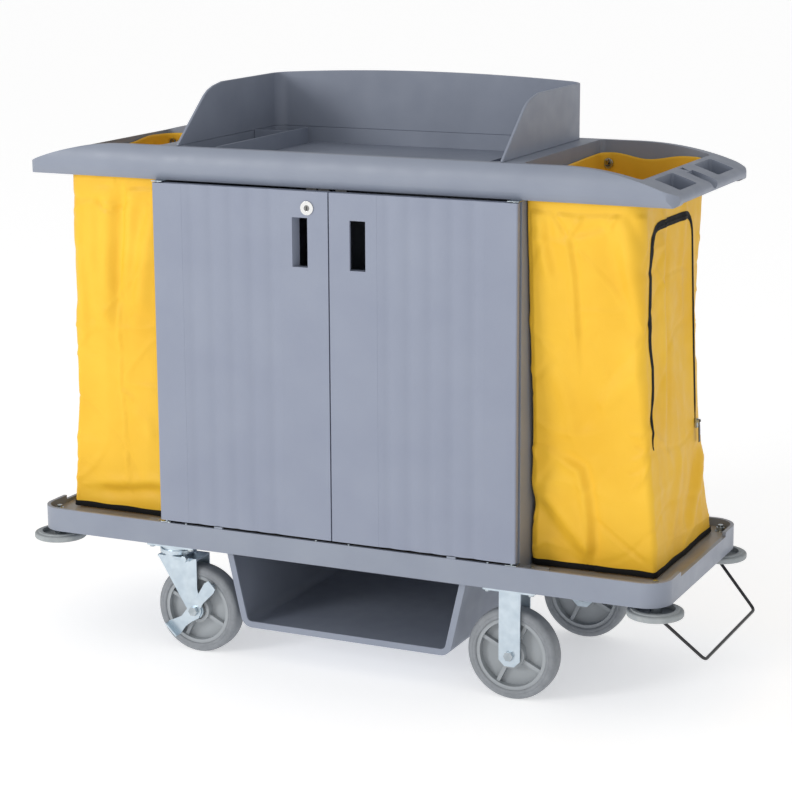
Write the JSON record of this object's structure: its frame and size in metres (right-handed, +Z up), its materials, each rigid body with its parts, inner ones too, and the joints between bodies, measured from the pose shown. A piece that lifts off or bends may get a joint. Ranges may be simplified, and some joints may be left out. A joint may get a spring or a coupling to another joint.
{
  "type": "housekeeping cart",
  "caption": "Long moulded housekeeping cart: two-door cabinet between two hanging vinyl bags, open top tray with a low hood, under-bin, wheels, swivel brakes and corner bumpers.",
  "frame": {"origin": "on the floor, under the middle of the deck", "axes": "+X along the cart towards the fixed wheels, the doors face -Y, +Z up"},
  "size_m": [1.5849, 0.568, 1.269],
  "materials": {
    "moulded_plastic": "lightly textured",
    "divider_plastic": "lightly textured",
    "vinyl": "coated, soft sheen",
    "black_webbing": "woven",
    "black_coated_metal": "satin coating",
    "black_plastic": "satin",
    "bumper_rubber": "matte",
    "bumper_hub_plastic": "satin",
    "wheel_plastic": "satin",
    "tyre_rubber": "matte",
    "zinc_plated_steel": "zinc plated"
  },
  "bodies": {
    "frame": {"deck": "moulded_plastic", "top_tray": "moulded_plastic", "hood": "moulded_plastic", "divider_left": "divider_plastic", "divider_right": "divider_plastic", "cabinet_side_left": "moulded_plastic", "cabinet_side_right": "moulded_plastic", "cabinet_back": "moulded_plastic", "shelf_upper": "moulded_plastic", "shelf_lower": "moulded_plastic", "door_pivots": "zinc_plated_steel", "lock_strike": "zinc_plated_steel", "door_magnets": "black_plastic", "under_bin": "moulded_plastic", "small_screws": "zinc_plated_steel", "bag_left": "vinyl", "bag_right": "vinyl", "bag_bindings": "black_webbing", "bag_eyelets": "zinc_plated_steel", "bag_hooks": "zinc_plated_steel", "zip_tape": "black_webbing", "wire_rack": "black_coated_metal", "bumper_bolts": "zinc_plated_steel", "bumper_spacers": "zinc_plated_steel", "caster_bolts": "zinc_plated_steel", "swivel_plates": "zinc_plated_steel", "fork_front_right": "zinc_plated_steel", "fork_rear_right": "zinc_plated_steel", "axle_front_right": "zinc_plated_steel", "axle_rear_right": "zinc_plated_steel"},
    "left_door": {"door_left": "moulded_plastic", "lock_body": "zinc_plated_steel", "lock_nut": "zinc_plated_steel"},
    "right_door": {"door_right": "moulded_plastic"},
    "lock": {"lock_plug": "zinc_plated_steel", "lock_cam": "zinc_plated_steel"},
    "slider": {"zip_slider": "zinc_plated_steel"},
    "pull": {"zip_pull": "black_coated_metal"},
    "swivel_front": {"fork_front_left": "zinc_plated_steel", "axle_front_left": "zinc_plated_steel"},
    "swivel_rear": {"fork_rear_left": "zinc_plated_steel", "axle_rear_left": "zinc_plated_steel"},
    "brake_front": {"brake_lever_front": "zinc_plated_steel"},
    "brake_rear": {"brake_lever_rear": "zinc_plated_steel"},
    "wheel_front_left": {"wheel_core_front_left": "wheel_plastic", "tyre_front_left": "tyre_rubber"},
    "bumper_front_left": {"bumper_ring_front_left": "bumper_rubber", "bumper_hub_front_left": "bumper_hub_plastic"},
    "wheel_front_right": {"wheel_core_front_right": "wheel_plastic", "tyre_front_right": "tyre_rubber"},
    "bumper_front_right": {"bumper_ring_front_right": "bumper_rubber", "bumper_hub_front_right": "bumper_hub_plastic"},
    "wheel_rear_left": {"wheel_core_rear_left": "wheel_plastic", "tyre_rear_left": "tyre_rubber"},
    "bumper_rear_left": {"bumper_ring_rear_left": "bumper_rubber", "bumper_hub_rear_left": "bumper_hub_plastic"},
    "wheel_rear_right": {"wheel_core_rear_right": "wheel_plastic", "tyre_rear_right": "tyre_rubber"},
    "bumper_rear_right": {"bumper_ring_rear_right": "bumper_rubber", "bumper_hub_rear_right": "bumper_hub_plastic"}
  },
  "joints": [
    {"name": "left_door_hinge", "type": "hinge", "parent": "frame", "child": "left_door", "pos_m": [-0.412, -0.257, 0.3], "axis": [0, 0, -1], "range_deg": [0, 110]},
    {"name": "right_door_hinge", "type": "hinge", "parent": "frame", "child": "right_door", "pos_m": [0.412, -0.257, 0.3], "axis": [0, 0, 1], "range_deg": [0, 110]},
    {"name": "lock_turn", "type": "hinge", "parent": "left_door", "child": "lock", "pos_m": [-0.049, -0.257, 1.022], "axis": [0, 1, 0], "range_deg": [0, 90]},
    {"name": "zip_slide", "type": "slide", "parent": "frame", "child": "slider", "axis": [-0.0389, 0, 0.9992], "range_m": [-0.025, 0.37]},
    {"name": "zip_pull_hinge", "type": "hinge", "parent": "slider", "child": "pull", "pos_m": [0.69449, 0.1095, 0.55515], "axis": [0, -1, 0], "range_deg": [-3, 165]},
    {"name": "front_swivel", "type": "hinge", "parent": "frame", "child": "swivel_front", "pos_m": [-0.405, -0.222, 0.23], "axis": [0, 0, 1], "continuous": true},
    {"name": "front_left_wheel_spin", "type": "hinge", "parent": "swivel_front", "child": "wheel_front_left", "pos_m": [-0.349, -0.222, 0.1], "axis": [0, 1, 0], "continuous": true},
    {"name": "front_brake_tilt", "type": "hinge", "parent": "swivel_front", "child": "brake_front", "pos_m": [-0.349, -0.222, 0.1], "axis": [0, -1, 0], "range_deg": [0, 18]},
    {"name": "front_right_wheel_spin", "type": "hinge", "parent": "frame", "child": "wheel_front_right", "pos_m": [0.405, -0.222, 0.1], "axis": [0, 1, 0], "continuous": true},
    {"name": "front_left_bumper_spin", "type": "hinge", "parent": "frame", "child": "bumper_front_left", "pos_m": [-0.714, -0.225, 0.23], "axis": [0, 0, 1], "continuous": true},
    {"name": "front_right_bumper_spin", "type": "hinge", "parent": "frame", "child": "bumper_front_right", "pos_m": [0.714, -0.225, 0.23], "axis": [0, 0, 1], "continuous": true},
    {"name": "rear_swivel", "type": "hinge", "parent": "frame", "child": "swivel_rear", "pos_m": [-0.405, 0.222, 0.23], "axis": [0, 0, 1], "continuous": true},
    {"name": "rear_left_wheel_spin", "type": "hinge", "parent": "swivel_rear", "child": "wheel_rear_left", "pos_m": [-0.349, 0.222, 0.1], "axis": [0, 1, 0], "continuous": true},
    {"name": "rear_brake_tilt", "type": "hinge", "parent": "swivel_rear", "child": "brake_rear", "pos_m": [-0.349, 0.222, 0.1], "axis": [0, -1, 0], "range_deg": [0, 18]},
    {"name": "rear_right_wheel_spin", "type": "hinge", "parent": "frame", "child": "wheel_rear_right", "pos_m": [0.405, 0.222, 0.1], "axis": [0, 1, 0], "continuous": true},
    {"name": "rear_left_bumper_spin", "type": "hinge", "parent": "frame", "child": "bumper_rear_left", "pos_m": [-0.714, 0.225, 0.23], "axis": [0, 0, 1], "continuous": true},
    {"name": "rear_right_bumper_spin", "type": "hinge", "parent": "frame", "child": "bumper_rear_right", "pos_m": [0.714, 0.225, 0.23], "axis": [0, 0, 1], "continuous": true}
  ]
}
